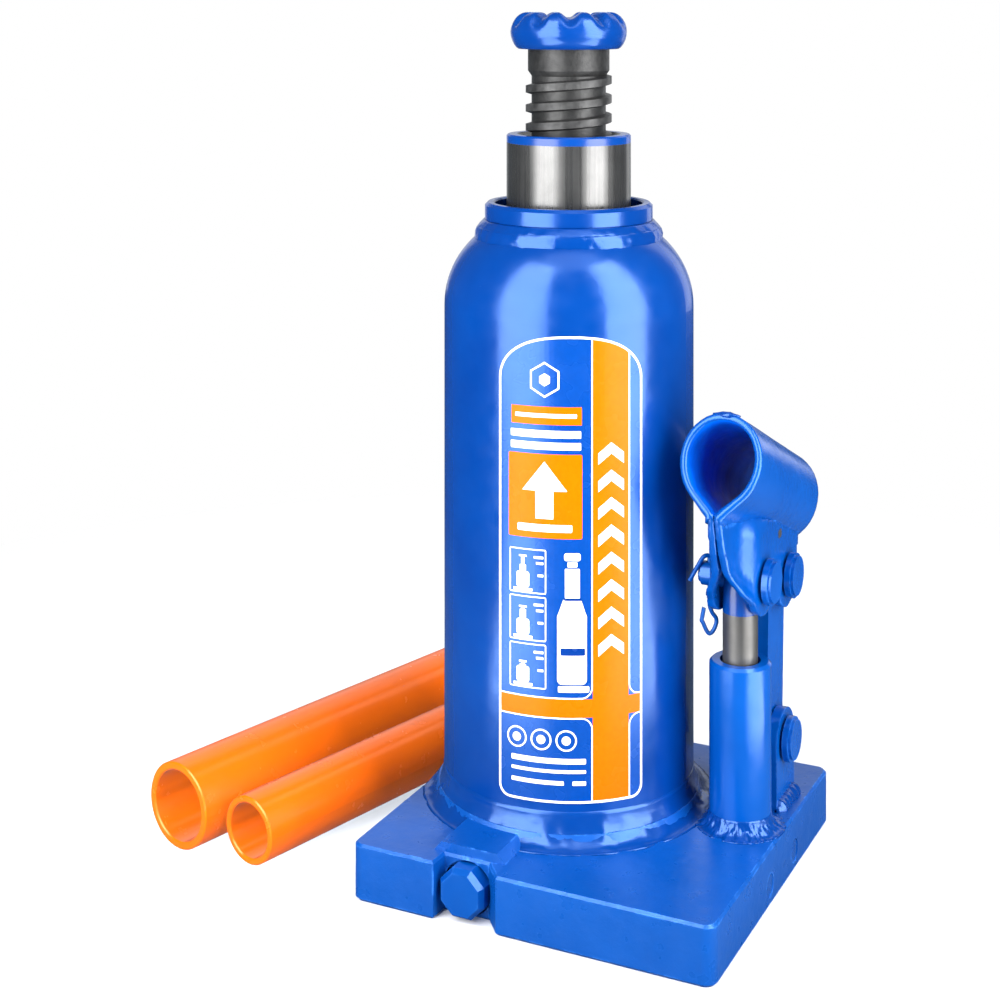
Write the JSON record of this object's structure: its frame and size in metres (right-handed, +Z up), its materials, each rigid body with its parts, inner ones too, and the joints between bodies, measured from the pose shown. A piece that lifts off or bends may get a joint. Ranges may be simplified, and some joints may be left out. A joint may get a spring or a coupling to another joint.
{
  "type": "bottle jack",
  "caption": "Hydraulic bottle jack with a hand pump, a lifting ram, an extension screw with a serrated saddle, and a loose tubular handle.",
  "frame": {"origin": "on the ram axis at ground level, under the base", "axes": "+Z up along the ram, +X from the ram to the pump, -Y towards the release valve and the operator"},
  "size_m": [0.1583, 0.1856, 0.2175],
  "materials": {
    "blue_paint": "gloss enamel",
    "blue_cast": "gloss enamel over a rough casting",
    "orange_paint": "gloss enamel",
    "ground_steel": "ground",
    "dark_steel": "rough black oxide",
    "bare_steel": "turned",
    "black_rubber": "matte",
    "white_plastic": "smooth",
    "copper_washer": "plain"
  },
  "bodies": {
    "root": {"base_plate": "blue_cast", "cylinder_gasket": "black_rubber", "cylinder": "ground_steel", "reservoir_gasket": "black_rubber", "reservoir": "blue_paint", "filler_plug": "black_rubber", "top_cap": "blue_paint", "ram_wiper": "black_rubber", "ram_seal": "black_rubber", "pump_gasket": "copper_washer", "pump_cylinder": "blue_paint", "plunger_seal": "black_rubber", "plunger_backup_ring": "white_plastic", "link_lug": "blue_paint", "lower_link_pin": "blue_paint", "lower_link_cotter": "blue_paint", "suction_spring": "bare_steel", "delivery_seat": "bare_steel", "delivery_spring": "bare_steel", "passage_plugs": "blue_paint", "overload_spring": "bare_steel", "overload_screw": "blue_paint", "suction_filter": "copper_washer"},
    "ram": {"ram": "ground_steel", "piston": "ground_steel", "piston_cup": "black_rubber", "piston_nut": "bare_steel"},
    "screw_stop": {"screw_stop_ring": "bare_steel"},
    "screw": {"extension_screw": "dark_steel", "saddle": "blue_paint", "screw_clip": "bare_steel"},
    "plunger": {"pump_plunger": "bare_steel"},
    "socket": {"handle_socket": "blue_paint", "plunger_pin": "blue_paint", "upper_link_pin": "blue_paint", "plunger_cotter": "blue_paint", "upper_link_cotter": "blue_paint"},
    "link": {"link_bar": "blue_paint"},
    "release_ball": {"release_ball": "bare_steel"},
    "release_valve": {"release_valve": "blue_paint", "valve_seal": "black_rubber"},
    "suction_ball": {"suction_ball": "bare_steel"},
    "delivery_ball": {"delivery_ball": "bare_steel"},
    "overload_ball": {"overload_ball": "bare_steel"},
    "small_tube": {"handle_tube_small": "orange_paint"},
    "large_tube": {"handle_tube_large": "orange_paint"}
  },
  "joints": [
    {"name": "ram_lift", "type": "slide", "parent": "root", "child": "ram", "axis": [0, 0, 1], "range_m": [-0.016, 0.089]},
    {"name": "screw_rise", "type": "slide", "parent": "ram", "child": "screw_stop", "axis": [0, 0, 1], "range_m": [-0.0214, 0.0266]},
    {"name": "screw_turn", "type": "hinge", "parent": "screw_stop", "child": "screw", "pos_m": [0, 0, 0.19], "axis": [0, 0, 1], "range_deg": [-1540, 1915]},
    {"name": "pump_stroke", "type": "slide", "parent": "root", "child": "plunger", "axis": [0, 0, 1], "range_m": [-0.0086, 0.00465]},
    {"name": "pump_lever", "type": "hinge", "parent": "plunger", "child": "socket", "pos_m": [0.047, 0, 0.0756], "axis": [1, 0, 0], "range_deg": [-14, 26]},
    {"name": "link_swing", "type": "hinge", "parent": "root", "child": "link", "pos_m": [0.047, 0.0171, 0.0303], "axis": [1, 0, 0], "range_deg": [-1.1, 0.6]},
    {"name": "release_back", "type": "slide", "parent": "root", "child": "release_ball", "axis": [0, -1, 0], "range_m": [0, 0.0019]},
    {"name": "release_turn", "type": "hinge", "parent": "release_ball", "child": "release_valve", "pos_m": [-0.006, -0.05, 0.0069], "axis": [0, -1, 0], "range_deg": [0, 540]},
    {"name": "suction_lift", "type": "slide", "parent": "root", "child": "suction_ball", "axis": [1, 0, 0], "range_m": [0, 0.0008]},
    {"name": "delivery_lift", "type": "slide", "parent": "root", "child": "delivery_ball", "axis": [-1, 0, 0], "range_m": [0, 0.0008]},
    {"name": "overload_lift", "type": "slide", "parent": "root", "child": "overload_ball", "axis": [0, 1, 0], "range_m": [0, 0.0008]},
    {"name": "small_tube_slide", "type": "slide", "parent": "root", "child": "small_tube", "axis": [-0.2419, -0.9703, 0], "range_m": [0, 0.06]},
    {"name": "large_tube_slide", "type": "slide", "parent": "root", "child": "large_tube", "axis": [-0.2419, -0.9703, 0], "range_m": [0, 0.06]}
  ],
  "couplings": [
    {"joint": "screw_rise", "follows": "screw_turn", "m_per_rad": 0.00079577},
    {"joint": "pump_stroke", "follows": "pump_lever", "m_per_rad": -0.0189},
    {"joint": "link_swing", "follows": "pump_lever", "ratio": -0.04},
    {"joint": "release_back", "follows": "release_turn", "m_per_rad": 0.00019894}
  ]
}
